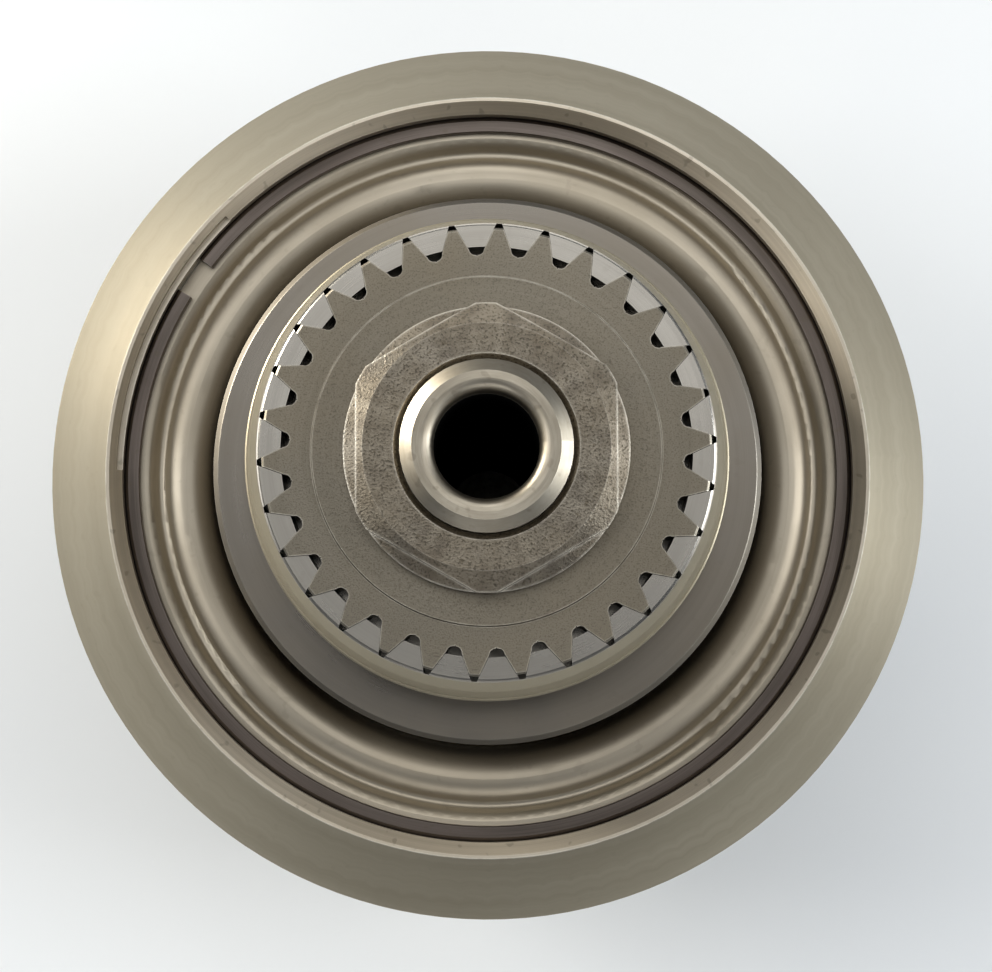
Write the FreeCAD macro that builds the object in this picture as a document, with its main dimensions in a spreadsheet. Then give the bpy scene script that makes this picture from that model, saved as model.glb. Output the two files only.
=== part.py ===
import FreeCAD, Part
import math
import os

import Sketcher

# Push-belt variator pulley on its shaft: a fixed sheave forged with the shaft, a sliding sheave with its
# piston drum and balance cover, two ball bearings, and a toothed hub locked by a flanged nut.
# It stands on the lower shaft end: +Z runs up the shaft to the nut and Z = 0 is the lower end face.

os.makedirs("parts", exist_ok=True)
doc = FreeCAD.newDocument("VariatorPulley")

DRIVING_SIZES = {
    # shaft, from the foot up
    "shaftBore": 9.13, "footRadius": 22.4, "footLength": 6.0, "plugLift": 3.0, "plugLength": 8.0,
    "plugStep": 0.87, "plugGap": 0.2,
    "frontJournal": 22.5, "frontCollar": 27.5, "frontCollarLength": 4.0,
    "slideJournal": 27.0, "rearJournal": 25.0, "spacerJournal": 24.8,
    "splineCore": 19.6, "splineTop": 21.4, "splineWidth": 3.2, "splineCount": 18,
    "threadRadius": 14.9, "threadStandOut": 3.0, "endFaceRadius": 12.8, "endBevel": 1.7, "boreLip": 2.3,
    "oilHole": 2.5, "oilHoleLift": 94.0, "oilHoleCount": 2,
    # pulley groove
    "sheaveRadius": 86.8, "flankSlope": 0.19438, "groovePitchRadius": 32.0, "closedGap": 1.5,
    "rimWidth": 6.0, "fixedRimLift": 38.0, "edgeBevel": 0.8,
    "sheaveTravel": 12.0,
    # sliding sheave
    "slideClearance": 0.05, "tubeWall": 5.0, "tubeTop": 88.5, "slidingRim": 9.2,
    "waistRadius": 79.5, "waistLength": 12.0, "waistBevel": 3.6, "collarLength": 5.5,
    "conePitch": 13.8, "springPocketLift": 64.0, "springPocketRadius": 49.5, "drumSeatLift": 69.5,
    "pocketBevel": 2.0,
    # piston drum
    "drumWall": 2.95, "mouthRadius": 71.05, "ledgeWidth": 1.25, "rimBevelWidth": 2.35, "rimBevelDrop": 1.6,
    "reliefWidth": 1.1, "reliefDepth": 2.2, "reliefStart": 140.0, "reliefSweep": 44.0,
    # cover, snap ring
    "coverSheet": 2.0, "brimDrop": 5.9, "coverGap": 0.1, "coverBore": 38.0, "coverFloorLift": 89.7,
    "wellGap": 1.2, "crestRadius": 5.9, "crestRise": 0.4, "valleyRadius": 1.2, "brimBend": 2.2,
    "wellBend": 3.0, "snapThickness": 1.8, "snapBevel": 0.8, "snapInner": 68.05, "snapBite": 1.15,
    "snapPlay": 0.1, "snapGapEnd": 153.6, "snapGapSweep": 6.0,
    # plunger
    "plungerGap": 0.15, "plungerHub": 36.0, "plungerHubBore": 32.5, "plungerFlange": 4.0,
    "plungerSheet": 3.0, "plungerDiscLift": 86.0, "plungerWallRadius": 58.3, "plungerRimLift": 92.0,
    "plungerRimHeight": 7.0, "sealDepth": 3.4, "sealHeight": 3.2, "sealBand": 2.4, "sealPlay": 0.1,
    "sealGap": 0.05,
    # spring and key balls
    "springWire": 1.25, "springRadius": 43.0, "springTurns": 2.5, "seatThickness": 1.2, "seatWidth": 8.0,
    "springEndGap": 0.3,
    "keyBall": 3.0, "trackPlay": 0.3, "trackCount": 3, "ballsPerTrack": 3, "ballGap": 1.0,
    "ballStopGap": 1.05, "stopRing": 1.2, "stopRingWidth": 2.2,
    # front bearing
    "frontBearingRadius": 42.5, "frontBearingWidth": 19.0, "frontBall": 6.0, "frontBallCount": 10,
    "circlip": 1.8, "circlipPlay": 0.1, "circlipBite": 1.4, "circlipWidth": 4.6, "circlipGapSweep": 26.0,
    # rear bearing
    "rearBearingRadius": 52.0, "rearBearingWidth": 20.0, "rearBall": 7.0, "rearBallCount": 11,
    "rearBearingLift": 105.5, "ringBevel": 1.0, "racePlay": 0.03, "shoulderShare": 0.55,
    "cageWall": 1.6, "cagePlay": 0.15,
    # hub, coupling sleeve, spacer, nut
    "hubFaceLift": 163.5, "hubThickness": 12.5, "hubStepRadius": 30.7, "hubStepHeight": 0.8,
    "hubBoss": 29.8, "toothRoot": 34.3, "toothTip": 39.3, "toothCount": 30, "toothBaseHalf": 2.39,
    "toothTipHalf": 0.78, "toothFillet": 1.1, "keyTurn": 7.6, "toothEdge": 0.35,
    "sleeveTopDrop": 0.5, "sleeveToothTip": 36.0, "sleeveToothRoot": 40.2, "flankPlay": 0.08,
    "sleeveLength": 15.3, "sleeveShoulder": 40.0, "sleeveKnee": 41.95, "sleeveKneeDrop": 6.7,
    "sleeveFoot": 43.15, "sleeveLip": 43.65, "sleeveLipHeight": 1.0, "sleeveBevel": 0.25,
    "spacerRadius": 31.3, "spacerFlange": 36.0, "spacerFlangeHeight": 4.0, "spacerPlay": 0.1,
    "nutFlats": 22.5, "nutCorner": 25.0, "nutFlange": 24.9, "nutFlangeHeight": 2.6, "nutFlangeRise": 1.3,
    "nutHeight": 7.7, "nutTopRadius": 21.3, "nutTopBevel": 1.5, "nutTurn": 5.0, "nutBevel": 1.0,
}

sheet = doc.addObject("Spreadsheet::Sheet", "Sizes")
for row, (name, number) in enumerate(DRIVING_SIZES.items(), start=1):
    sheet.set(f"A{row}", name)
    sheet.set(f"B{row}", str(number))
    sheet.setAlias(f"B{row}", name)
doc.recompute()


class Size:
    """A length that keeps the sheet formula it came from beside its present value."""

    def __init__(self, text, value):
        self.text = text
        self.value = value

    def joined(self, sign, other, value):
        return Size(f"({self.text} {sign} {textOf(other)})", value)

    def __add__(self, other):
        return self.joined("+", other, self.value + valueOf(other))

    def __sub__(self, other):
        return self.joined("-", other, self.value - valueOf(other))

    def __mul__(self, other):
        return self.joined("*", other, self.value * valueOf(other))

    def __truediv__(self, other):
        return self.joined("/", other, self.value / valueOf(other))


def textOf(number):
    return number.text if isinstance(number, Size) else repr(float(number))


def valueOf(number):
    return number.value if isinstance(number, Size) else float(number)


class Sizes:
    """size.NAME is the driving size NAME of the sheet."""

    def __getattr__(self, name):
        return Size(f"Sizes.{name}", float(DRIVING_SIZES[name]))


size = Sizes()
subParts = []


def newBody(label, lift=None, turn=0.0):
    """One sub-part, raised along the shaft by lift and turned about it by a number of degrees."""
    body = doc.addObject("PartDesign::Body", label)
    body.Label = label
    axis = FreeCAD.Vector(0, 0, 1)
    height = valueOf(lift) if lift is not None else 0.0
    body.Placement = FreeCAD.Placement(FreeCAD.Vector(0, 0, height), FreeCAD.Rotation(axis, turn))
    if lift is not None:
        body.setExpression("Placement.Base.z", lift.text)
    subParts.append(body)
    return body


def originPart(body, role):
    return next(part for part in body.Origin.OriginFeatures if part.Role == role)


def newSketch(body, plane, name, lift=None):
    sketch = body.newObject("Sketcher::SketchObject", f"{body.Name}_{name}")
    sketch.AttachmentSupport = [(originPart(body, plane), "")]
    sketch.MapMode = "FlatFace"
    if lift is not None:
        sketch.setExpression("AttachmentOffset.Base.z", lift.text)
    return sketch


def pinPoint(sketch, edge, end, place):
    """Holds one end of an edge at (x, y), each bound to its formula."""
    for kind, axis, number in (("DistanceX", -2, place[0]), ("DistanceY", -1, place[1])):
        if isinstance(number, Size):
            index = sketch.addConstraint(Sketcher.Constraint(kind, -1, 1, edge, end, number.value))
            sketch.setExpression(f"Constraints[{index}]", number.text)
        elif number:
            sketch.addConstraint(Sketcher.Constraint(kind, -1, 1, edge, end, float(number)))
        else:
            sketch.addConstraint(Sketcher.Constraint("PointOnObject", edge, end, axis))


def arcBetween(start, finish, radius, side):
    """The short arc from start to finish; its centre lies left of the way for side 1, right for -1."""
    chord = finish - start
    reach = math.sqrt(max(radius**2 - (chord.Length / 2) ** 2, 0.0))
    left = FreeCAD.Vector(-chord.y, chord.x, 0) / chord.Length
    centre = (start + finish) / 2 + left * reach * side
    first, last = (start, finish) if side > 0 else (finish, start)
    angles = [math.atan2(point.y - centre.y, point.x - centre.x) for point in (first, last)]
    if angles[1] <= angles[0]:
        angles[1] += 2 * math.pi
    return Part.ArcOfCircle(Part.Circle(centre, FreeCAD.Vector(0, 0, 1), radius), *angles)


def drawOutline(sketch, outline):
    """A closed outline of points (x, y); (x, y, radius, side) reaches its point along an arc."""
    spots = [FreeCAD.Vector(valueOf(point[0]), valueOf(point[1]), 0) for point in outline]
    ends = []
    for index, point in enumerate(outline):
        start, finish = spots[index - 1], spots[index]
        if len(point) == 2:
            edge = sketch.addGeometry(Part.LineSegment(start, finish), False)
            ends.append((edge, 1, 2))
        else:
            radius, side = point[2], point[3]
            edge = sketch.addGeometry(arcBetween(start, finish, valueOf(radius), side), False)
            ends.append((edge, 1, 2) if side > 0 else (edge, 2, 1))
    for index, point in enumerate(outline):
        edge, _, finish = ends[index]
        following, start, _ = ends[(index + 1) % len(outline)]
        sketch.addConstraint(Sketcher.Constraint("Coincident", edge, finish, following, start))
        pinPoint(sketch, edge, finish, point)
    for (edge, _, _), point in zip(ends, outline):
        if len(point) == 4:
            bind = sketch.addConstraint(Sketcher.Constraint("Radius", edge, valueOf(point[2])))
            sketch.setExpression(f"Constraints[{bind}]", textOf(point[2]))


def drawCircle(sketch, centre, radius):
    middle = FreeCAD.Vector(valueOf(centre[0]), valueOf(centre[1]), 0)
    circle = Part.Circle(middle, FreeCAD.Vector(0, 0, 1), valueOf(radius))
    edge = sketch.addGeometry(circle, False)
    pinPoint(sketch, edge, 3, centre)
    bind = sketch.addConstraint(Sketcher.Constraint("Radius", edge, valueOf(radius)))
    sketch.setExpression(f"Constraints[{bind}]", textOf(radius))


def revolve(body, kind, sketch, angle=None):
    feature = body.newObject(f"PartDesign::{kind}", f"{sketch.Name}_{kind}")
    feature.Profile = sketch
    feature.ReferenceAxis = (sketch, ["V_Axis"])
    feature.Angle = valueOf(angle) if angle is not None else 360.0
    if angle is not None:
        feature.setExpression("Angle", angle.text)
    doc.recompute()
    return feature


def turned(label, outline, lift=None, turn=0.0, angle=None):
    """A body turned about the shaft axis from an outline of (radius, height)."""
    body = newBody(label, lift, turn)
    sketch = newSketch(body, "XZ_Plane", "Outline")
    drawOutline(sketch, outline)
    revolve(body, "Revolution", sketch, angle)
    return body


def groove(body, name, draw):
    """Cuts a ring-shaped groove; draw puts its section on a fresh sketch through the axis."""
    before = body.Shape.Volume
    sketch = newSketch(body, "XZ_Plane", name)
    draw(sketch)
    revolve(body, "Groove", sketch)
    if body.Shape.Volume >= before - 0.01:
        raise RuntimeError(f"{body.Label}: {name} cuts nothing")


def prism(body, kind, name, draw, length, lift=None, count=None, plane="XY_Plane"):
    """A Pad up from lift, or a Pocket whose sketch stands at its top, repeated round the axis."""
    before = body.Shape.Volume if body.Tip else 0.0
    sketch = newSketch(body, plane, name, lift)
    draw(sketch)
    feature = body.newObject(f"PartDesign::{kind}", f"{sketch.Name}_{kind}")
    feature.Profile = sketch
    feature.Length = valueOf(length)
    feature.setExpression("Length", textOf(length))
    doc.recompute()
    if count is not None:
        pattern = body.newObject("PartDesign::PolarPattern", f"{sketch.Name}_Round")
        pattern.Originals = [feature]
        pattern.Axis = (originPart(body, "Z_Axis"), [""])
        pattern.Angle = 360.0
        pattern.Occurrences = int(valueOf(count))
        pattern.setExpression("Occurrences", count.text)
        body.Tip = pattern
        doc.recompute()
    grown = body.Shape.Volume - before
    if (grown <= 0.01) if kind == "Pad" else (grown >= -0.01):
        raise RuntimeError(f"{body.Label}: {name} changes nothing")


def ballSet(label, places, radius):
    """Separate balls in one sub-part; places are (distance from the axis, degrees round it, height)."""
    balls = []
    for index, (reach, degrees, height) in enumerate(places, start=1):
        ball = doc.addObject("Part::Sphere", f"{label}_{index}")
        ball.Radius = valueOf(radius)
        ball.setExpression("Radius", textOf(radius))
        ball.setExpression("Placement.Base.x", f"{textOf(reach)} * cos({degrees} deg)")
        ball.setExpression("Placement.Base.y", f"{textOf(reach)} * sin({degrees} deg)")
        ball.setExpression("Placement.Base.z", textOf(height))
        balls.append(ball)
    group = doc.addObject("Part::Compound", label)
    group.Label = label
    group.Links = balls
    subParts.append(group)


def ringSection(inner, outer, low, high):
    return [(inner, low), (outer, low), (outer, high), (inner, high)]


# Levels up the shaft that several sub-parts share.
rearTop = size.rearBearingLift + size.rearBearingWidth
sleeveLow = size.hubFaceLift - size.sleeveTopDrop - size.sleeveLength
hubLow = size.hubFaceLift - size.hubThickness
hubTop = size.hubFaceLift + size.hubStepHeight
shaftTop = hubTop + size.nutHeight + size.threadStandOut
frontLow = size.footLength + size.circlip + size.circlipPlay * 2
frontTop = frontLow + size.frontBearingWidth
plugSeat = size.shaftBore + size.plugStep
plugTop = size.plugLift + size.plugLength - size.plugGap
collarTop = frontTop + size.frontCollarLength
stopLow = size.tubeTop - size.stopRing * 2 - size.snapPlay / 2
ballPitch = size.keyBall * 2 + size.ballGap
ballLift = stopLow - size.ballStopGap - size.keyBall - ballPitch * (size.ballsPerTrack - 1)
plungerSeat = size.rearBearingLift - size.plungerFlange


def fixedFlank(radius):
    """Height of the fixed sheave's working face."""
    return size.fixedRimLift + size.rimWidth + (size.sheaveRadius - radius) * size.flankSlope


def slidingFlank(radius):
    """Height of the sliding sheave's working face with the groove closed."""
    rise = (radius - size.groovePitchRadius) * size.flankSlope
    return fixedFlank(size.groovePitchRadius) + size.closedGap + rise


collarLow = slidingFlank(size.sheaveRadius) + size.slidingRim + size.waistBevel + size.waistLength
coneLow = collarLow + size.waistBevel + size.collarLength
rimTop = coneLow + size.conePitch
brimTop = rimTop - size.brimDrop
coverWell = size.rearBearingRadius + size.wellGap
drumOuter = size.mouthRadius + size.drumWall
drumBore = size.mouthRadius - size.ledgeWidth


def pulleyShaft():
    """Fixed sheave and hollow shaft, forged and turned in one."""
    bevel = size.edgeBevel
    hubRadius = size.slideJournal + 4.0
    filletTop = fixedFlank(hubRadius) + 2.6
    back = size.fixedRimLift - 1.5
    body = turned("pulley_shaft", turn=DRIVING_SIZES["keyTurn"], outline=[
        (plugSeat, 0), (size.footRadius - bevel, 0), (size.footRadius, bevel),
        (size.footRadius, size.footLength),
        (size.footRadius - size.circlipBite, size.footLength),
        (size.footRadius - size.circlipBite, size.footLength + size.circlip + size.circlipPlay),
        (size.footRadius, size.footLength + size.circlip + size.circlipPlay),
        (size.footRadius, frontLow), (size.frontJournal, frontLow),
        (size.frontJournal, frontTop), (size.frontCollar, frontTop), (size.frontCollar, collarTop),
        (size.frontCollar + 6.5, collarTop), (size.frontCollar + 42.0, back),
        (size.sheaveRadius - 2.2, back), (size.sheaveRadius, size.fixedRimLift + bevel),
        (size.sheaveRadius, fixedFlank(size.sheaveRadius) - bevel),
        (size.sheaveRadius - bevel, fixedFlank(size.sheaveRadius - bevel)),
        (hubRadius, fixedFlank(hubRadius)), (size.slideJournal, filletTop, size.slideJournal / 6.0, -1),
        (size.slideJournal, plungerSeat), (size.rearJournal, plungerSeat),
        (size.rearJournal, rearTop), (size.spacerJournal, rearTop),
        (size.spacerJournal, sleeveLow), (size.splineCore, sleeveLow),
        (size.splineCore, hubTop - 0.4), (size.threadRadius, hubTop - 0.4),
        (size.threadRadius, shaftTop - size.endBevel),
        (size.endFaceRadius, shaftTop), (size.shaftBore + size.boreLip, shaftTop),
        (size.shaftBore, shaftTop - size.boreLip, size.boreLip * 1.05, 1),
        (size.shaftBore, plugTop + size.plugGap), (plugSeat, plugTop + size.plugGap),
    ])

    def splineTooth(sketch):
        half = size.splineWidth / 2
        inside = size.splineCore - 2.0
        drawOutline(sketch, [(inside, half * -1), (size.splineTop, half * -1),
                             (size.splineTop, half), (inside, half)])

    prism(body, "Pad", "Spline", splineTooth, hubTop - 0.4 - sleeveLow, sleeveLow, size.splineCount)

    def track(sketch):
        drawCircle(sketch, (size.slideJournal, 0), size.keyBall + size.trackPlay)

    trackLow = ballLift - size.keyBall - 0.5
    trackTop = ballLift + ballPitch * (size.ballsPerTrack - 1) + size.sheaveTravel / 2 + 3.9
    prism(body, "Pocket", "BallTrack", track, trackTop - trackLow, trackTop, size.trackCount)

    def oilHole(sketch):
        drawCircle(sketch, (0, size.oilHoleLift), size.oilHole)

    prism(body, "Pocket", "OilHole", oilHole, size.slideJournal + 5.0, count=size.oilHoleCount,
          plane="XZ_Plane")


def slidingSheave():
    """Sliding sheave with its guide tube, thick waist and conical collar."""
    bevel = size.edgeBevel
    bore = size.slideJournal + size.slideClearance
    tube = bore + size.tubeWall
    low = size.slideJournal + 4.5
    mouthTop = slidingFlank(low) + 3.9
    rimEdge = slidingFlank(size.sheaveRadius)
    body = turned("movable_sheave", turn=DRIVING_SIZES["keyTurn"], outline=[
        (bore, mouthTop), (low, slidingFlank(low)),
        (size.sheaveRadius - bevel, slidingFlank(size.sheaveRadius - bevel)),
        (size.sheaveRadius, rimEdge + bevel), (size.sheaveRadius, rimEdge + size.slidingRim),
        (size.waistRadius, rimEdge + size.slidingRim + size.waistBevel), (size.waistRadius, collarLow),
        (size.sheaveRadius, collarLow + size.waistBevel), (size.sheaveRadius, coneLow),
        (drumOuter, rimTop), (drumOuter, size.drumSeatLift),
        (size.springPocketRadius + size.pocketBevel, size.drumSeatLift),
        (size.springPocketRadius, size.springPocketLift + size.pocketBevel),
        (size.springPocketRadius - size.pocketBevel, size.springPocketLift),
        (tube + size.pocketBevel, size.springPocketLift),
        (tube, size.springPocketLift + size.pocketBevel, size.pocketBevel, -1),
        (tube, size.tubeTop - 0.8), (tube - 0.8, size.tubeTop), (bore, size.tubeTop),
    ])

    def track(sketch):
        drawCircle(sketch, (size.slideJournal + size.slideClearance, 0), size.keyBall + size.trackPlay)

    trackLow = ballLift - size.sheaveTravel / 2 - size.keyBall - 0.5
    prism(body, "Pocket", "BallTrack", track, size.tubeTop - trackLow, size.tubeTop, size.trackCount)

    def stopGroove(sketch):
        low = stopLow - size.snapPlay / 2
        drawOutline(sketch, ringSection(bore - 1.0, bore + size.stopRingWidth, low,
                                        low + size.stopRing + size.snapPlay))

    groove(body, "StopGroove", stopGroove)


def pistonDrum():
    """Cylinder pressed into the sliding sheave; a ledge and a groove in its mouth hold the cover."""
    grooveLow = brimTop
    body = turned("piston_drum", [
        (drumBore, size.drumSeatLift), (drumOuter, size.drumSeatLift), (drumOuter, rimTop),
        (size.mouthRadius + size.rimBevelWidth, rimTop), (size.mouthRadius, rimTop - size.rimBevelDrop),
        (size.mouthRadius, grooveLow + size.snapThickness + size.snapPlay),
        (size.mouthRadius + size.snapBite, grooveLow + size.snapThickness + size.snapPlay),
        (size.mouthRadius + size.snapBite, grooveLow),
        (size.mouthRadius, grooveLow), (size.mouthRadius, brimTop - size.coverSheet),
        (drumBore, brimTop - size.coverSheet),
    ])
    body.Placement.Rotation = FreeCAD.Rotation(FreeCAD.Vector(0, 0, 1), DRIVING_SIZES["reliefStart"])

    def relief(sketch):
        """A sector of the rim's bevel, cleared for the ring pliers."""
        inner, outer = size.mouthRadius - 1.0, size.mouthRadius + size.reliefWidth
        sweep = math.radians(DRIVING_SIZES["reliefSweep"])
        middle, up = FreeCAD.Vector(0, 0, 0), FreeCAD.Vector(0, 0, 1)
        arcs = [Part.ArcOfCircle(Part.Circle(middle, up, valueOf(reach)), 0.0, sweep)
                for reach in (inner, outer)]
        near, far = [sketch.addGeometry(arc, False) for arc in arcs]
        sides = [sketch.addGeometry(Part.LineSegment(one, other), False) for one, other in
                 ((arcs[0].StartPoint, arcs[1].StartPoint), (arcs[0].EndPoint, arcs[1].EndPoint))]
        for side, end in zip(sides, (1, 2)):
            sketch.addConstraint(Sketcher.Constraint("Coincident", near, end, side, 1))
            sketch.addConstraint(Sketcher.Constraint("Coincident", far, end, side, 2))
        for edge, reach in ((near, inner), (far, outer)):
            sketch.addConstraint(Sketcher.Constraint("Coincident", edge, 3, -1, 1))
            bind = sketch.addConstraint(Sketcher.Constraint("Radius", edge, valueOf(reach)))
            sketch.setExpression(f"Constraints[{bind}]", textOf(reach))
        sketch.addConstraint(Sketcher.Constraint("PointOnObject", near, 1, -1))
        sketch.addConstraint(Sketcher.Constraint("PointOnObject", far, 1, -1))
        for edge in (near, far):
            bend = sketch.addConstraint(Sketcher.Constraint("Angle", edge, sweep))
            sketch.setExpression(f"Constraints[{bend}]", "Sizes.reliefSweep * 1 deg")

    prism(body, "Pocket", "PlierRelief", relief, size.reliefDepth, rimTop)


def balanceCover():
    """Pressed cover: brim, shallow bead, rounded crest, deep well and floor with the seal bore."""
    wall, top = size.coverSheet, brimTop
    bend, bead, crest = size.brimBend, size.valleyRadius, size.crestRadius
    slant = math.sqrt(0.5)
    crestMiddle = coverWell + crest
    crestLift = top + size.crestRise - crest
    beadMiddle = crestMiddle + (crest + bead) * slant
    beadLift = crestLift + (crest + bead) * slant
    bendLift = top - bend
    bendMiddle = beadMiddle + (top - bend * (1 - slant) - beadLift + bead * slant) + (bead + bend) * slant
    floorTop = size.coverFloorLift + wall
    brimEdge = size.mouthRadius - size.coverGap
    turned("balance_cover", [
        (brimEdge, top), (bendMiddle, top), (bendMiddle - bend * slant, bendLift + bend * slant, bend, 1),
        (beadMiddle + bead * slant, beadLift - bead * slant),
        (beadMiddle - bead * slant, beadLift - bead * slant, bead, -1),
        (crestMiddle, crestLift + crest, crest, 1), (coverWell, crestLift, crest, 1),
        (coverWell, floorTop + size.wellBend),
        (coverWell - size.wellBend, floorTop, size.wellBend, -1),
        (size.coverBore, floorTop), (size.coverBore, size.coverFloorLift),
        (coverWell - size.wellBend, size.coverFloorLift),
        (coverWell + wall, floorTop + size.wellBend, size.wellBend + wall, 1),
        (coverWell + wall, crestLift),
        (crestMiddle, crestLift + crest - wall, crest - wall, -1),
        (crestMiddle + (crest - wall) * slant, crestLift + (crest - wall) * slant, crest - wall, -1),
        (beadMiddle + (bead + wall) * slant, beadLift - (bead + wall) * slant, bead + wall, 1),
        (bendMiddle - (bend - wall) * slant, bendLift + (bend - wall) * slant),
        (bendMiddle, top - wall, bend - wall, -1),
        (brimEdge, top - wall),
    ])


def coverParts():
    """Bevelled snap ring over the cover's brim, and the seal on the plunger's hub."""
    inner, outer = size.snapInner, size.mouthRadius + size.snapBite - size.snapPlay
    ringTop = brimTop + size.snapThickness
    corner = size.snapPlay * 2
    turned("cover_snap_ring", [
        (inner, brimTop), (outer, brimTop), (outer, ringTop - size.snapBevel),
        (size.mouthRadius - size.snapBevel, ringTop), (inner + corner, ringTop), (inner, ringTop - corner)],
        turn=DRIVING_SIZES["snapGapEnd"], angle=Size("360", 360.0) - size.snapGapSweep)
    hub = size.plungerHub + size.sealGap
    turned("cover_seal", ringSection(hub, size.coverBore, size.coverFloorLift,
                                     size.coverFloorLift + size.coverSheet))


def plunger():
    """Piston fixed on the shaft: hub clamped under the rear bearing, disc, wall and sealed rim."""
    sheetTop = size.plungerDiscLift + size.plungerSheet
    rimTopLift = size.plungerRimLift + size.plungerRimHeight
    edge = drumBore - size.plungerGap
    bore = size.rearJournal + size.slideClearance
    wallOuter = size.plungerWallRadius + size.plungerSheet
    sealLow = size.plungerRimLift + (size.plungerRimHeight - size.sealHeight) / 2
    turned("plunger", [
        (bore, plungerSeat), (size.plungerHubBore, plungerSeat),
        (size.plungerHubBore, size.plungerDiscLift), (wallOuter, size.plungerDiscLift),
        (wallOuter, size.plungerRimLift), (edge, size.plungerRimLift),
        (edge, sealLow), (edge - size.sealDepth, sealLow),
        (edge - size.sealDepth, sealLow + size.sealHeight), (edge, sealLow + size.sealHeight),
        (edge, rimTopLift), (size.plungerWallRadius, rimTopLift),
        (size.plungerWallRadius, sheetTop), (size.plungerHub, sheetTop),
        (size.plungerHub, size.rearBearingLift), (bore, size.rearBearingLift),
    ])
    band = drumBore - size.sealGap
    low, high = sealLow + size.sealPlay, sealLow + size.sealHeight - size.sealPlay
    turned("plunger_seal_ring", ringSection(band - size.sealBand, band, low, high))
    turned("plunger_o_ring", ringSection(edge - size.sealDepth, band - size.sealBand, low, high))


def returnSpring():
    """Coil spring between the plunger and its seat in the sliding sheave."""
    inner = size.springRadius - size.seatWidth / 2
    turned("spring_seat", ringSection(inner, inner + size.seatWidth, size.springPocketLift,
                                      size.springPocketLift + size.seatThickness))
    low = size.springPocketLift + size.seatThickness + size.springWire + size.springEndGap
    high = size.plungerDiscLift - size.springWire - size.springEndGap
    # One smooth line round all the turns, with the wire's circle swept along it.
    steps = int(size.springTurns.value * 24)
    line = Part.BSplineCurve()
    line.interpolate([FreeCAD.Vector(size.springRadius.value * math.cos(math.tau * step / 24),
                                     size.springRadius.value * math.sin(math.tau * step / 24),
                                     low.value + (high - low).value * step / steps)
                      for step in range(steps + 1)])
    start, way = line.StartPoint, line.tangent(line.FirstParameter)[0]
    section = Part.Wire([Part.makeCircle(size.springWire.value, start, way)])
    spring = doc.addObject("Part::Feature", "return_spring")
    spring.Label = "return_spring"
    spring.Shape = Part.Wire([line.toShape()]).makePipeShell([section], True, False)
    subParts.append(spring)


def ballSpline():
    """Balls that key the sliding sheave to the shaft, and the ring that keeps them in the tube."""
    reach = size.slideJournal + size.slideClearance / 2
    spacing = 360.0 / int(DRIVING_SIZES["trackCount"])
    places = [(reach, DRIVING_SIZES["keyTurn"] + spacing * track, ballLift + ballPitch * float(row))
              for track in range(DRIVING_SIZES["trackCount"])
              for row in range(DRIVING_SIZES["ballsPerTrack"])]
    ballSet("key_balls", places, size.keyBall)
    bore = size.slideJournal + size.slideClearance
    turned("ball_stop_ring", ringSection(bore + 0.4, bore + size.stopRingWidth - size.snapPlay,
                                         stopLow, stopLow + size.stopRing))


def ballBearing(name, bore, outer, width, ball, count, lift):
    """Inner ring, outer ring, balls and cage of one deep-groove bearing, its lower face at lift."""
    pitch = (bore + outer) / 2
    shoulder = ball * size.shoulderShare
    bevel = size.ringBevel
    middle = width / 2

    def race(sketch):
        drawCircle(sketch, (pitch, middle), ball + size.racePlay)

    inside = turned(f"{name}_inner_ring", [
        (bore + bevel, 0), (pitch - shoulder, 0), (pitch - shoulder, width), (bore + bevel, width),
        (bore, width - bevel), (bore, bevel)], lift)
    groove(inside, "Race", race)
    outside = turned(f"{name}_outer_ring", [
        (pitch + shoulder, 0), (outer - bevel, 0), (outer, bevel), (outer, width - bevel),
        (outer - bevel, width), (pitch + shoulder, width)], lift)
    groove(outside, "Race", race)
    step = 360.0 / count.value
    places = [(pitch, step * index, lift + middle) for index in range(int(count.value))]
    ballSet(f"{name}_balls", places, ball)
    half = ball + size.cagePlay * 2 + 1.0
    cage = turned(f"{name}_cage", ringSection(pitch - size.cageWall, pitch + size.cageWall,
                                              middle - half, middle + half), lift)

    def pocket(sketch):
        drawCircle(sketch, (0, middle), ball + size.cagePlay)

    prism(cage, "Pocket", "BallPocket", pocket, outer, count=count, plane="XZ_Plane")
    cage.Placement.Rotation = FreeCAD.Rotation(FreeCAD.Vector(0, 0, 1), -90.0)


def toothOutline(sketch, play, tip, root):
    """One tooth of the hub, or with play its space in the sleeve, lying along +X."""
    slope = (size.toothBaseHalf - size.toothTipHalf) / (size.toothTip - size.toothRoot - size.toothFillet)
    tipHalf = size.toothTipHalf + play - (tip - size.toothTip) * slope
    base = root + size.toothFillet
    baseHalf = size.toothTipHalf + play + (size.toothTip - base) * slope
    foot = baseHalf + size.toothFillet
    sunk = root - 1.0
    drawOutline(sketch, [
        (sunk, foot * -1), (root, foot * -1), (base, baseHalf * -1, size.toothFillet * 1.02, -1),
        (tip, tipHalf * -1), (tip, tipHalf), (base, baseHalf), (root, foot, size.toothFillet * 1.02, -1),
        (sunk, foot)])


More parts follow.
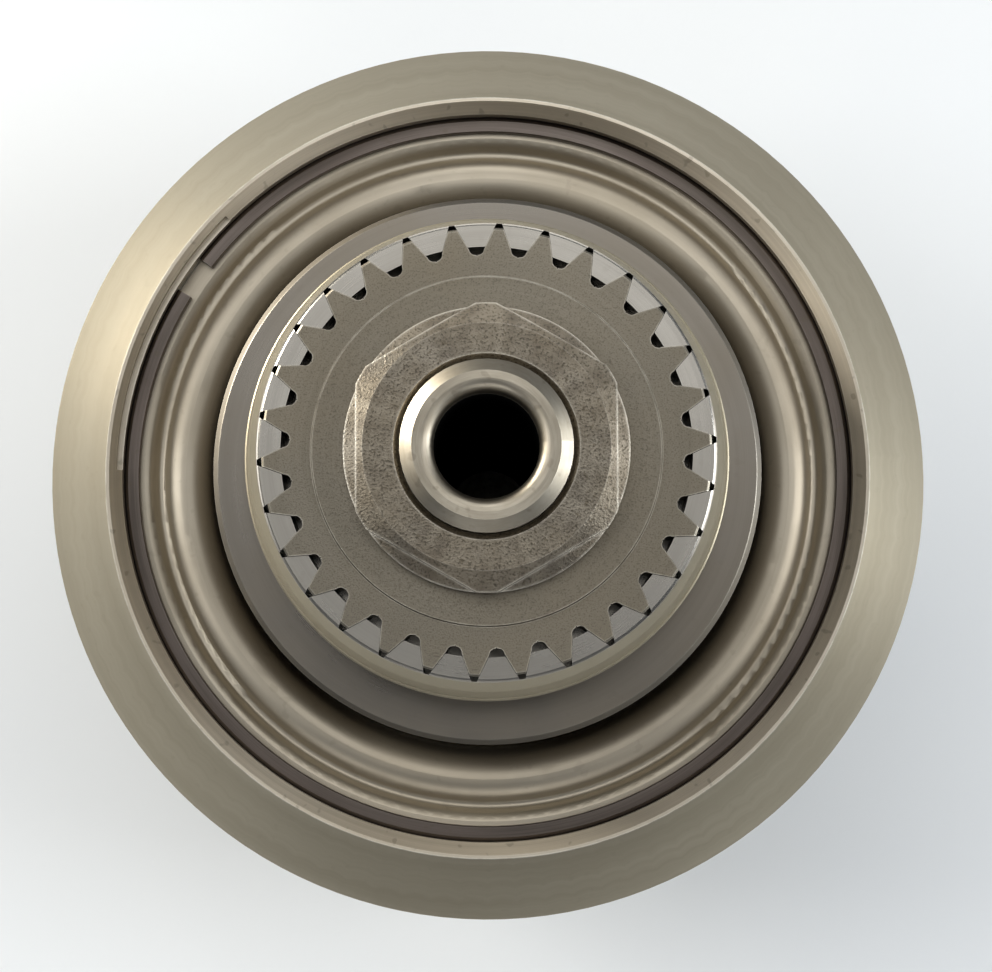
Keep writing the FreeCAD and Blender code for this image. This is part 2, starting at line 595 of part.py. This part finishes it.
def toothedHub():
    """Thirty-tooth hub that takes the drive off the shaft, on splines under the lock nut."""
    edge = size.toothEdge
    core = size.splineCore + size.slideClearance
    body = turned("toothed_hub", [
        (core, sleeveLow), (size.hubBoss, sleeveLow), (size.hubBoss, hubLow), (size.toothRoot, hubLow),
        (size.toothRoot, size.hubFaceLift), (size.hubStepRadius, size.hubFaceLift),
        (size.hubStepRadius - 0.2, hubTop), (core, hubTop)], turn=DRIVING_SIZES["keyTurn"])

    def tooth(sketch):
        toothOutline(sketch, Size("0", 0.0), size.toothTip, size.toothRoot)

    prism(body, "Pad", "Tooth", tooth, size.hubThickness, hubLow, size.toothCount)

    def tipEdge(sketch):
        drawOutline(sketch, [(size.toothTip + 1.0, size.hubFaceLift - edge), (size.toothTip + 1.0, hubTop),
                             (size.toothTip - edge, hubTop), (size.toothTip - edge, size.hubFaceLift),
                             (size.toothTip, size.hubFaceLift - edge)])

    groove(body, "TipEdge", tipEdge)

    def splineSlot(sketch):
        half = size.splineWidth / 2 + size.slideClearance
        drawOutline(sketch, [(core - 1.0, half * -1), (size.splineTop + size.slideClearance, half * -1),
                             (size.splineTop + size.slideClearance, half), (core - 1.0, half)])

    prism(body, "Pocket", "SplineSlot", splineSlot, hubTop - sleeveLow, hubTop, size.splineCount)


def couplingSleeve():
    """Polished sleeve; its inner teeth fill the spaces between the hub's teeth."""
    top = size.hubFaceLift - size.sleeveTopDrop
    knee = size.hubFaceLift - size.sleeveKneeDrop
    lipLow = sleeveLow + size.sleeveLipHeight
    bevel = size.sleeveBevel
    body = turned("coupling_sleeve", [
        (size.hubBoss + size.slideClearance, sleeveLow), (size.sleeveLip, sleeveLow),
        (size.sleeveLip, lipLow - bevel), (size.sleeveLip - bevel, lipLow), (size.sleeveFoot, lipLow),
        (size.sleeveKnee, knee), (size.sleeveShoulder + 0.25, top - bevel - 0.1),
        (size.sleeveShoulder, top - bevel), (size.sleeveShoulder - bevel, top),
        (size.sleeveToothTip, top), (size.sleeveToothTip, hubLow),
        (size.hubBoss + size.slideClearance, hubLow)], turn=DRIVING_SIZES["keyTurn"])

    def space(sketch):
        toothOutline(sketch, size.flankPlay, size.sleeveToothRoot, size.toothRoot)

    prism(body, "Pocket", "ToothSpace", space, top - hubLow, top, size.toothCount)


def spacerSleeve():
    bore = size.spacerJournal + size.spacerPlay
    flangeLow = sleeveLow - size.spacerFlangeHeight
    turned("spacer_sleeve", [
        (bore, rearTop), (size.spacerRadius, rearTop), (size.spacerRadius, flangeLow - 3.0),
        (size.spacerFlange, flangeLow), (size.spacerFlange, sleeveLow), (bore, sleeveLow)])


def lockNut():
    """Flanged hexagon nut, its corners rounded by the top bevel."""
    bore = size.threadRadius + size.slideClearance * 2
    body = newBody("lock_nut", hubTop, DRIVING_SIZES["nutTurn"])

    def hexagon(sketch):
        corner = size.nutFlats / math.cos(math.pi / 6)
        half = size.nutFlats * math.tan(math.pi / 6)
        flats = size.nutFlats
        drawOutline(sketch, [(flats, half * -1), (flats, half), (0, corner), (flats * -1, half),
                             (flats * -1, half * -1), (0, corner * -1)])

    prism(body, "Pad", "Hexagon", hexagon, size.nutHeight)

    def corners(sketch):
        top = size.nutHeight
        drawOutline(sketch, [(size.nutCorner + 4.0, 0), (size.nutCorner + 4.0, top + 1.0),
                             (size.nutTopRadius, top + 1.0), (size.nutTopRadius, top),
                             (size.nutCorner, top - size.nutTopBevel), (size.nutCorner, 0)])

    groove(body, "Corners", corners)
    flange = newSketch(body, "XZ_Plane", "Flange")
    seat = size.nutFlangeHeight
    drawOutline(flange, [
        (bore, 0), (size.nutFlange - 0.5, 0), (size.nutFlange, 0.5), (size.nutFlange, seat),
        (size.nutFlats - 1.5, seat + size.nutFlangeRise), (bore, seat + size.nutFlangeRise)])
    revolve(body, "Revolution", flange)

    def thread(sketch):
        top = size.nutHeight
        drawOutline(sketch, [(0, -1.0), (bore, -1.0), (bore, top - size.nutBevel),
                             (bore + size.nutBevel, top), (bore + size.nutBevel, top + 1.0), (0, top + 1.0)])

    groove(body, "Thread", thread)


def shaftFittings():
    """Bore plug pressed in above the foot, and the circlip under the front bearing."""
    turned("shaft_plug", [
        (0, size.plugLift), (plugSeat - 0.6, size.plugLift), (plugSeat, size.plugLift + 0.6),
        (plugSeat, plugTop), (0, plugTop)])
    inner = size.footRadius - size.circlipBite
    low = size.footLength + size.circlipPlay / 2
    turned("front_retaining_ring", ringSection(inner, inner + size.circlipWidth, low, low + size.circlip),
           turn=DRIVING_SIZES["circlipGapSweep"] / 2, angle=Size("360", 360.0) - size.circlipGapSweep)


pulleyShaft()
slidingSheave()
pistonDrum()
balanceCover()
coverParts()
plunger()
returnSpring()
ballSpline()
ballBearing("front_bearing", size.frontJournal, size.frontBearingRadius, size.frontBearingWidth,
            size.frontBall, size.frontBallCount, frontLow)
ballBearing("rear_bearing", size.rearJournal, size.rearBearingRadius, size.rearBearingWidth,
            size.rearBall, size.rearBallCount, size.rearBearingLift)
toothedHub()
couplingSleeve()
spacerSleeve()
lockNut()
shaftFittings()
doc.recompute()

for thing in doc.Objects:
    if any(word in state for state in thing.State for word in ("Invalid", "Error")):
        raise RuntimeError(f"{thing.Label} failed: {thing.State}")
for part in subParts:
    if part.Shape.isNull() or not part.Shape.isValid():
        raise RuntimeError(f"{part.Label} has no sound shape")
    part.Shape.exportStep(f"parts/{part.Label}.step")
    print(part.Label, round(part.Shape.Volume), "mm3")
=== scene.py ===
import bpy
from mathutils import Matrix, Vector

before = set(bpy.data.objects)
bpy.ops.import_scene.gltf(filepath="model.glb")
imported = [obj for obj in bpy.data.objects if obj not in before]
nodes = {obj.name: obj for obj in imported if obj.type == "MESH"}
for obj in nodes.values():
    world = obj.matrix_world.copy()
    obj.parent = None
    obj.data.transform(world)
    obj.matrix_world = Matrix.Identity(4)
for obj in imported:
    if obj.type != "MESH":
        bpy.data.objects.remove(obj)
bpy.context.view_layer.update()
print("frame loaded,", len(nodes), "nodes")

scene = bpy.context.scene


# small helpers for node trees

def addNode(tree, kind, **settings):
    node = tree.nodes.new(kind)
    for name, value in settings.items():
        setattr(node, name, value)
    return node


def feed(tree, socket, source):
    # a source is another socket, or a plain value
    if isinstance(source, bpy.types.NodeSocket):
        tree.links.new(source, socket)
    else:
        socket.default_value = source


def doMath(tree, operation, first, second=0.0, clamp=False):
    node = addNode(tree, "ShaderNodeMath", operation=operation, use_clamp=clamp)
    feed(tree, node.inputs[0], first)
    feed(tree, node.inputs[1], second)
    return node.outputs[0]


def mapRange(tree, value, low, high, toLow=0.0, toHigh=1.0):
    node = addNode(tree, "ShaderNodeMapRange", interpolation_type="SMOOTHSTEP")
    ends = {"Value": value, "From Min": low, "From Max": high, "To Min": toLow, "To Max": toHigh}
    for name, source in ends.items():
        feed(tree, node.inputs[name], source)
    return node.outputs["Result"]


def mixColour(tree, factor, first, second, blend="MIX"):
    node = addNode(tree, "ShaderNodeMix", data_type="RGBA", blend_type=blend)
    feed(tree, node.inputs[0], factor)
    feed(tree, node.inputs[6], first)
    feed(tree, node.inputs[7], second)
    return node.outputs[2]


def newGroup(name, inputs, outputs):
    group = bpy.data.node_groups.new(name, "ShaderNodeTree")
    for label, value in inputs:
        socket = group.interface.new_socket(name=label, in_out="INPUT", socket_type="NodeSocketFloat")
        socket.default_value = value
    for label in outputs:
        group.interface.new_socket(name=label, in_out="OUTPUT", socket_type="NodeSocketFloat")
    start = group.nodes.new("NodeGroupInput")
    end = group.nodes.new("NodeGroupOutput")
    return group, start.outputs, end.inputs


def useGroup(tree, group, **values):
    node = tree.nodes.new("ShaderNodeGroup")
    node.node_tree = group
    for name, value in values.items():
        feed(tree, node.inputs[name], value)
    return node.outputs


def axisPlaces(tree):
    # distance from the shaft axis, height, and a unit vector that goes round with the surface
    place = addNode(tree, "ShaderNodeTexCoord").outputs["Object"]
    parts = addNode(tree, "ShaderNodeSeparateXYZ")
    tree.links.new(place, parts.inputs[0])
    x, y, z = parts.outputs
    squares = doMath(tree, "ADD", doMath(tree, "MULTIPLY", x, x), doMath(tree, "MULTIPLY", y, y))
    reach = doMath(tree, "SQRT", squares)
    safe = doMath(tree, "MAXIMUM", reach, 0.0005)
    return place, reach, z, doMath(tree, "DIVIDE", x, safe), doMath(tree, "DIVIDE", y, safe)


def joined(tree, x, y, z):
    node = addNode(tree, "ShaderNodeCombineXYZ")
    for socket, source in zip(node.inputs, (x, y, z)):
        feed(tree, socket, source)
    return node.outputs[0]


def noise(tree, vector, scale, detail=3.0, roughness=0.55):
    node = addNode(tree, "ShaderNodeTexNoise", noise_dimensions="3D")
    feed(tree, node.inputs["Vector"], vector)
    feed(tree, node.inputs["Scale"], scale)
    feed(tree, node.inputs["Detail"], detail)
    feed(tree, node.inputs["Roughness"], roughness)
    return node.outputs["Fac"]


# effects that several finishes share

def buildLatheLines():
    # fine lines left by the lathe, running round the shaft axis
    inputs = [("Lines", 3000.0), ("Breaks", 2.5), ("Seed", 0.0)]
    group, given, out = newGroup("latheLines", inputs, ["Height", "Streaks"])
    tree = group
    _, reach, z, aroundX, aroundY = axisPlaces(tree)
    across = doMath(tree, "ADD", doMath(tree, "MULTIPLY", reach, given["Lines"]),
                    doMath(tree, "MULTIPLY", z, given["Lines"]))
    turnX = doMath(tree, "ADD", doMath(tree, "MULTIPLY", aroundX, given["Breaks"]), given["Seed"])
    turnY = doMath(tree, "MULTIPLY", aroundY, given["Breaks"])
    fine = noise(tree, joined(tree, turnX, turnY, across), 1.0, 3.0, 0.7)
    broad = noise(tree, joined(tree, turnX, turnY, doMath(tree, "MULTIPLY", across, 0.09)), 1.0, 2.0, 0.5)
    feed(tree, out["Height"], fine)
    feed(tree, out["Streaks"], mapRange(tree, doMath(tree, "ADD", doMath(tree, "MULTIPLY", fine, 0.45),
                                                    doMath(tree, "MULTIPLY", broad, 0.55)), 0.3, 0.7))
    return group


def buildOilFilm():
    # blotches of dried oil and a scatter of fine specks
    group, given, out = newGroup("oilFilm", [("Blotches", 28.0), ("Specks", 1400.0), ("Seed", 0.0)],
                                 ["Blotch", "Speck", "Grain"])
    tree = group
    place = axisPlaces(tree)[0]
    shift = addNode(tree, "ShaderNodeVectorMath", operation="ADD")
    tree.links.new(place, shift.inputs[0])
    tree.links.new(joined(tree, given["Seed"], 0.0, 0.0), shift.inputs[1])
    moved = shift.outputs[0]
    feed(tree, out["Blotch"], mapRange(tree, noise(tree, moved, given["Blotches"], 5.0, 0.6), 0.32, 0.68))
    grain = noise(tree, moved, given["Specks"], 2.0, 0.6)
    feed(tree, out["Grain"], grain)
    rare = noise(tree, moved, doMath(tree, "MULTIPLY", given["Specks"], 0.35), 1.0, 0.5)
    feed(tree, out["Speck"], mapRange(tree, rare, 0.66, 0.74))
    return group


def buildEdgeWear():
    # bright along sharp outer edges, broken up by noise
    group, given, out = newGroup("edgeWear", [("Width", 0.0004), ("Breaks", 260.0)], ["Edge"])
    tree = group
    bevel = addNode(tree, "ShaderNodeBevel", samples=6)
    tree.links.new(given["Width"], bevel.inputs["Radius"])
    plain = addNode(tree, "ShaderNodeNewGeometry").outputs["Normal"]
    dot = addNode(tree, "ShaderNodeVectorMath", operation="DOT_PRODUCT")
    tree.links.new(bevel.outputs[0], dot.inputs[0])
    tree.links.new(plain, dot.inputs[1])
    bend = mapRange(tree, doMath(tree, "SUBTRACT", 1.0, dot.outputs["Value"]), 0.004, 0.09)
    place = axisPlaces(tree)[0]
    worn = mapRange(tree, noise(tree, place, given["Breaks"], 3.0, 0.6), 0.3, 0.6, 0.35, 1.0)
    feed(tree, out["Edge"], doMath(tree, "MULTIPLY", bend, worn, clamp=True))
    return group


def buildOuterBand():
    # rises from 0 to 1 over a short width outside this radius; the mask for painted shade on outer bevels
    # and cones
    group, given, out = newGroup("outerBand", [("Radius", 0.0401), ("Width", 0.0004)], ["Mask"])
    tree = group
    reach = axisPlaces(tree)[1]
    edge = doMath(tree, "ADD", given["Radius"], given["Width"])
    feed(tree, out["Mask"], mapRange(tree, reach, given["Radius"], edge))
    return group


def buildDeepShade():
    # painted shade: full inside a bore of this radius below this height, where no light reaches the oily
    # wall
    group, given, out = newGroup("deepShade", [("Radius", 0.0094), ("Top", 0.1725)], ["Mask"])
    tree = group
    _, reach, z, _, _ = axisPlaces(tree)
    inside = doMath(tree, "LESS_THAN", reach, given["Radius"])
    below = mapRange(tree, doMath(tree, "SUBTRACT", given["Top"], z), 0.0, 0.002)
    feed(tree, out["Mask"], doMath(tree, "MULTIPLY", inside, below, clamp=True))
    return group


latheLines = buildLatheLines()
oilFilm = buildOilFilm()
edgeWear = buildEdgeWear()
deepShade = buildDeepShade()
outerBand = buildOuterBand()
print("shared effects ready")


# finishes

def colourOf(values):
    return (values[0], values[1], values[2], 1.0)


BUMP_DEPTH = 0.0001      # metres
FILM_SEED_SHARE = 0.37   # keeps the oil pattern apart from the lathe lines


def turnedMetal(name, look, seed):
    material = bpy.data.materials.new(name)
    material.use_nodes = True
    tree = material.node_tree
    shader = tree.nodes["Principled BSDF"]
    lines = useGroup(tree, latheLines, Lines=look["lines"], Breaks=look["breaks"], Seed=seed)
    film = useGroup(tree, oilFilm, Blotches=look["blotches"], Specks=look["specks"],
                    Seed=seed * FILM_SEED_SHARE)
    worn = useGroup(tree, edgeWear, Width=look["edgeWidth"])
    colour = mixColour(tree, lines["Streaks"], colourOf(look["dark"]), colourOf(look["light"]))
    # painted shade: outside the band radius the colour goes to the darker band colour
    if look["bandRadius"] > 0:
        band = useGroup(tree, outerBand, Radius=look["bandRadius"])["Mask"]
        colour = mixColour(tree, band, colour, colourOf(look["bandColour"]))
    stain = doMath(tree, "MULTIPLY", film["Blotch"], look["oil"])
    colour = mixColour(tree, stain, colour, colourOf(look["oilColour"]))
    if look["grainTone"] > 0:
        pits = doMath(tree, "MULTIPLY", mapRange(tree, film["Grain"], 0.5, 0.68), look["grainTone"])
        colour = mixColour(tree, pits, colour, colourOf(look["grainColour"]))
    colour = mixColour(tree, doMath(tree, "MULTIPLY", film["Speck"], look["speckle"]), colour,
                       colourOf(look["speckColour"]))
    colour = mixColour(tree, doMath(tree, "MULTIPLY", worn["Edge"], look["wear"]), colour,
                       colourOf(look["edgeColour"]))
    # painted shade: deep in the bore the colour goes near black and the shine is taken away
    if look["deep"]:
        shade = useGroup(tree, deepShade)["Mask"]
        colour = mixColour(tree, shade, colour, colourOf(look["deepColour"]))
        lit = doMath(tree, "SUBTRACT", 1.0, shade)
        feed(tree, shader.inputs["Metallic"], lit)
        feed(tree, shader.inputs["Specular IOR Level"], doMath(tree, "MULTIPLY", lit, 0.5))
    feed(tree, shader.inputs["Base Color"], colour)
    duller = doMath(tree, "MULTIPLY", film["Blotch"], look["roughSpread"])
    smoother = doMath(tree, "MULTIPLY", lines["Streaks"], look["roughSpread"] * -0.5)
    rough = doMath(tree, "ADD", doMath(tree, "ADD", look["roughness"], duller), smoother)
    if look["bandRadius"] > 0:
        rough = doMath(tree, "ADD", rough, doMath(tree, "MULTIPLY", band, look["bandRoughness"]))
    feed(tree, shader.inputs["Roughness"], doMath(tree, "MAXIMUM", rough, look["leastRoughness"]))
    if not look["deep"]:
        shader.inputs["Metallic"].default_value = look["metallic"]
    shader.inputs["Anisotropic"].default_value = look["anisotropy"]
    if look["anisotropy"] > 0:
        tangent = addNode(tree, "ShaderNodeTangent", direction_type="RADIAL", axis="Z")
        tree.links.new(tangent.outputs[0], shader.inputs["Tangent"])
    rise = doMath(tree, "ADD", doMath(tree, "MULTIPLY", lines["Height"], look["lineRise"]),
                  doMath(tree, "MULTIPLY", film["Grain"], look["grainRise"]))
    bump = addNode(tree, "ShaderNodeBump")
    bump.inputs["Strength"].default_value = look["bump"]
    bump.inputs["Distance"].default_value = BUMP_DEPTH
    feed(tree, bump.inputs["Height"], rise)
    tree.links.new(bump.outputs[0], shader.inputs["Normal"])
    return material


def dress(material, *names):
    for name in names:
        slots = nodes[name].data.materials
        slots.clear()
        slots.append(material)


plainSteel = {
    "dark": (0.30, 0.265, 0.205), "light": (0.50, 0.455, 0.37), "lines": 5200.0, "breaks": 2.2,
    "blotches": 26.0, "oil": 0.25, "oilColour": (0.27, 0.225, 0.155), "specks": 1300.0, "speckle": 0.25,
    "speckColour": (0.12, 0.10, 0.07), "edgeWidth": 0.0004, "wear": 0.5, "edgeColour": (0.78, 0.74, 0.65),
    "roughness": 0.33, "roughSpread": 0.10, "metallic": 1.0, "anisotropy": 0.6, "lineRise": 0.5,
    "grainRise": 0.15, "bump": 0.25, "deep": False, "deepColour": (0.004, 0.004, 0.004),
    "grainTone": 0.0, "grainColour": (0.09, 0.078, 0.06), "leastRoughness": 0.08,
    "bandRadius": 0.0, "bandColour": (0.30, 0.27, 0.20), "bandRoughness": 0.12,
}


def finish(**changes):
    return {**plainSteel, **changes}


# sheaves and shaft: turned, warm grey; the shaft's bore is painted near black as shade
sheaveLook = finish(dark=(0.26, 0.228, 0.165), light=(0.345, 0.305, 0.23), anisotropy=0.85, roughness=0.31,
                    breaks=0.6, speckle=0.06, oil=0.18, roughSpread=0.05)
shaftLook = finish(dark=(0.34, 0.305, 0.245), light=(0.47, 0.43, 0.355), roughness=0.38, anisotropy=0.4,
                   oil=0.15, edgeWidth=0.0003, wear=0.25, deep=True)
dress(turnedMetal("sheaveSteel", sheaveLook, 1.0), "movable_sheave")
dress(turnedMetal("shaftSteel", shaftLook, 2.0), "pulley_shaft")

# piston drum: bright, rough, with a worn rim
drumLook = finish(dark=(0.50, 0.45, 0.37), light=(0.66, 0.60, 0.50), roughness=0.50, anisotropy=0.4,
                  wear=0.7, breaks=0.8, speckle=0.3)
dress(turnedMetal("drumSteel", drumLook, 3.0), "piston_drum")

# cover: pressed sheet with an oily sheen
coverLook = finish(dark=(0.46, 0.41, 0.33), light=(0.52, 0.47, 0.38), lines=1500.0, roughness=0.42,
                   breaks=0.6, anisotropy=0.4, oil=0.25, lineRise=0.05, grainRise=0.15, speckle=0.1)
dress(turnedMetal("coverSteel", coverLook, 4.0), "balance_cover")

# snap ring and circlip: blued spring steel
ringLook = finish(dark=(0.10, 0.086, 0.074), light=(0.18, 0.152, 0.135), oilColour=(0.125, 0.095, 0.083),
                  roughness=0.40, anisotropy=0.2, edgeColour=(0.45, 0.40, 0.36), wear=0.35)
dress(turnedMetal("ringSteel", ringLook, 5.0), "cover_snap_ring", "front_retaining_ring", "ball_stop_ring")

# bearing rings: ground; the outer bevel is duller, and darker by painted shade that holds down its bright
# reflection
bearingLook = finish(dark=(0.21, 0.191, 0.164), light=(0.235, 0.215, 0.187), lines=7000.0, roughness=0.30,
                     breaks=0.8, anisotropy=0.3, oil=0.2, edgeWidth=0.0003, wear=0.15, speckle=0.06,
                     lineRise=0.2,
                     bandRadius=0.0509, bandColour=(0.13, 0.118, 0.10), bandRoughness=0.25)
dress(turnedMetal("bearingSteel", bearingLook, 6.0), "rear_bearing_outer_ring", "rear_bearing_inner_ring",
      "front_bearing_outer_ring", "front_bearing_inner_ring")

# balls
ballLook = finish(dark=(0.62, 0.61, 0.58), light=(0.70, 0.69, 0.66), roughness=0.12, roughSpread=0.03,
                  anisotropy=0.0, oil=0.1, lineRise=0.0, grainRise=0.02, speckle=0.1)
dress(turnedMetal("ballSteel", ballLook, 7.0), "rear_bearing_balls", "front_bearing_balls", "key_balls")

# cages: pressed
cageLook = finish(dark=(0.34, 0.31, 0.25), light=(0.44, 0.40, 0.33), roughness=0.38, anisotropy=0.2)
dress(turnedMetal("cageSteel", cageLook, 8.0), "rear_bearing_cage", "front_bearing_cage")

# plunger, spacer and plug: turned, hidden or half hidden
plungerLook = finish(roughness=0.36)
dress(turnedMetal("plungerSteel", plungerLook, 9.0), "plunger", "spacer_sleeve", "shaft_plug")

# spring and its seat
springLook = finish(dark=(0.14, 0.13, 0.12), light=(0.22, 0.21, 0.195), roughness=0.38, anisotropy=0.0,
                    lineRise=0.1, grainRise=0.3)
dress(turnedMetal("springSteel", springLook, 10.0), "return_spring", "spring_seat")

# hub: satin with a fine grain
hubLook = finish(dark=(0.20, 0.18, 0.142), light=(0.235, 0.212, 0.17), lines=2600.0, roughness=0.42,
                 anisotropy=0.2, specks=3400.0, speckle=0.22, grainRise=0.9, lineRise=0.12, bump=0.4,
                 breaks=0.8, grainTone=0.55)
dress(turnedMetal("hubSteel", hubLook, 11.0), "toothed_hub")

# coupling sleeve: polished, golden on its cone; the cone is darkened by painted shade that holds down its
# bright reflection
sleeveLook = finish(dark=(0.34, 0.322, 0.292), light=(0.39, 0.372, 0.337), roughness=0.25,
                    anisotropy=0.3, oil=0.08,
                    lineRise=0.15, bandRoughness=0.2,
                    breaks=0.8, speckle=0.05, wear=0.2, bandRadius=0.0401, bandColour=(0.34, 0.30, 0.215))
dress(turnedMetal("sleeveSteel", sleeveLook, 12.0), "coupling_sleeve")

# lock nut: phosphated forging with worn corners
nutLook = finish(dark=(0.15, 0.13, 0.105), light=(0.29, 0.26, 0.21), lines=900.0, breaks=6.0, blotches=90.0,
                 grainTone=0.9, oil=0.3, specks=2400.0, speckle=0.6, roughness=0.40, anisotropy=0.0,
                 lineRise=0.2,
                 grainRise=1.6, bump=0.6, edgeWidth=0.0008, wear=1.0, edgeColour=(0.64, 0.60, 0.52))
dress(turnedMetal("nutSteel", nutLook, 13.0), "lock_nut")

# seals
rubberLook = finish(dark=(0.015, 0.014, 0.013), light=(0.03, 0.028, 0.026), oilColour=(0.02, 0.018, 0.015),
                    metallic=0.0, roughness=0.5, anisotropy=0.0, wear=0.0, speckle=0.0)
dress(turnedMetal("sealRubber", rubberLook, 14.0), "cover_seal", "plunger_o_ring")
bandLook = finish(dark=(0.14, 0.09, 0.05), light=(0.20, 0.13, 0.075), metallic=0.0, roughness=0.45,
                  anisotropy=0.0, wear=0.0, speckle=0.0)
dress(turnedMetal("sealBand", bandLook, 15.0), "plunger_seal_ring")
print("finishes done")


# floor

def buildFloor():
    look = {"side": 1.6, "thickness": 0.004, "colour": (0.835, 0.865, 0.89), "shade": (0.775, 0.81, 0.845),
            "foldShade": 5.0, "roughness": 0.9, "glow": 0.02}
    mesh = bpy.data.meshes.new("floorSheet")
    half = look["side"] / 2
    low = -look["thickness"]
    corners = [(x * half, y * half, z) for z in (low, 0.0) for x, y in ((-1, -1), (1, -1), (1, 1), (-1, 1))]
    faces = [(0, 3, 2, 1), (4, 5, 6, 7), (0, 1, 5, 4), (1, 2, 6, 5), (2, 3, 7, 6), (3, 0, 4, 7)]
    mesh.from_pydata(corners, [], faces)
    floor = bpy.data.objects.new("floorSheet", mesh)
    scene.collection.objects.link(floor)
    material = bpy.data.materials.new("floorCloth")
    material.use_nodes = True
    tree = material.node_tree
    shader = tree.nodes["Principled BSDF"]
    place = addNode(tree, "ShaderNodeTexCoord").outputs["Object"]
    # painted shade: random darker patches stand in for shade in the cloth's folds
    foldShade = mapRange(tree, noise(tree, place, look["foldShade"], 2.0, 0.4), 0.35, 0.65)
    cloth = mixColour(tree, foldShade, colourOf(look["shade"]), colourOf(look["colour"]))
    feed(tree, shader.inputs["Base Color"], cloth)
    shader.inputs["Roughness"].default_value = look["roughness"]
    shader.inputs["Emission Color"].default_value = colourOf(look["colour"])
    shader.inputs["Emission Strength"].default_value = look["glow"]
    mesh.materials.append(material)


buildFloor()
print("floor done")


# light

def addSoftbox(name, place, target, width, height, power, colour):
    data = bpy.data.lights.new(name, "AREA")
    data.shape = "RECTANGLE"
    data.size = width
    data.size_y = height
    data.energy = power
    data.color = colour
    light = bpy.data.objects.new(name, data)
    scene.collection.objects.link(light)
    light.location = place
    light.rotation_euler = (Vector(target) - Vector(place)).to_track_quat("-Z", "Y").to_euler()
    light.visible_camera = False


def buildLights():
    warm, cool, plain = (1.0, 0.94, 0.83), (0.93, 0.97, 1.0), (1.0, 0.99, 0.97)
    middle = (0.0, 0.0, 0.1)
    addSoftbox("windowLeft", (-1.22, 0.56, 0.22), middle, 0.5, 0.6, 31.0, warm)
    addSoftbox("boxRight", (1.25, 0.05, 0.25), middle, 0.5, 0.6, 10.5, cool)
    addSoftbox("boxAbove", (0.0, 0.52, 1.6), (0.0, 0.0, 0.1), 1.4, 1.0, 5.2, plain)
    addSoftbox("highBack", (0.0, 1.25, 1.0), middle, 1.2, 0.6, 4.6, plain)
    addSoftbox("highLeft", (-1.1, 0.1, 1.1), middle, 0.6, 1.0, 6.5, plain)
    addSoftbox("highRight", (1.1, 0.1, 1.1), middle, 0.6, 1.0, 6.5, plain)
    addSoftbox("highFront", (0.0, -1.25, 0.9), middle, 1.2, 0.5, 3.5, plain)
    world = bpy.data.worlds.new("studio")
    world.use_nodes = True
    tree = world.node_tree
    sky = {"colour": (0.80, 0.86, 0.95), "lighting": 0.12, "seen": 0.85}
    background = tree.nodes["Background"]
    background.inputs["Color"].default_value = colourOf(sky["colour"])
    direct = addNode(tree, "ShaderNodeLightPath").outputs["Is Camera Ray"]
    gain = doMath(tree, "MULTIPLY", direct, sky["seen"] - sky["lighting"])
    feed(tree, background.inputs["Strength"], doMath(tree, "ADD", gain, sky["lighting"]))
    scene.world = world


buildLights()
print("lights done")


# camera

def buildCamera():
    eye = {"place": (0.0049, -0.0397, 0.5973), "look": (-0.0064, 0.0776, -1.0), "lens": 90.73}
    data = bpy.data.cameras.new("camera")
    data.lens = eye["lens"]
    data.sensor_width = 36.0
    data.clip_start = 0.01
    camera = bpy.data.objects.new("camera", data)
    scene.collection.objects.link(camera)
    camera.location = eye["place"]
    camera.rotation_euler = Vector(eye["look"]).to_track_quat("-Z", "Y").to_euler()
    scene.camera = camera


buildCamera()
scene.view_settings.view_transform = "Standard"
print("camera done")
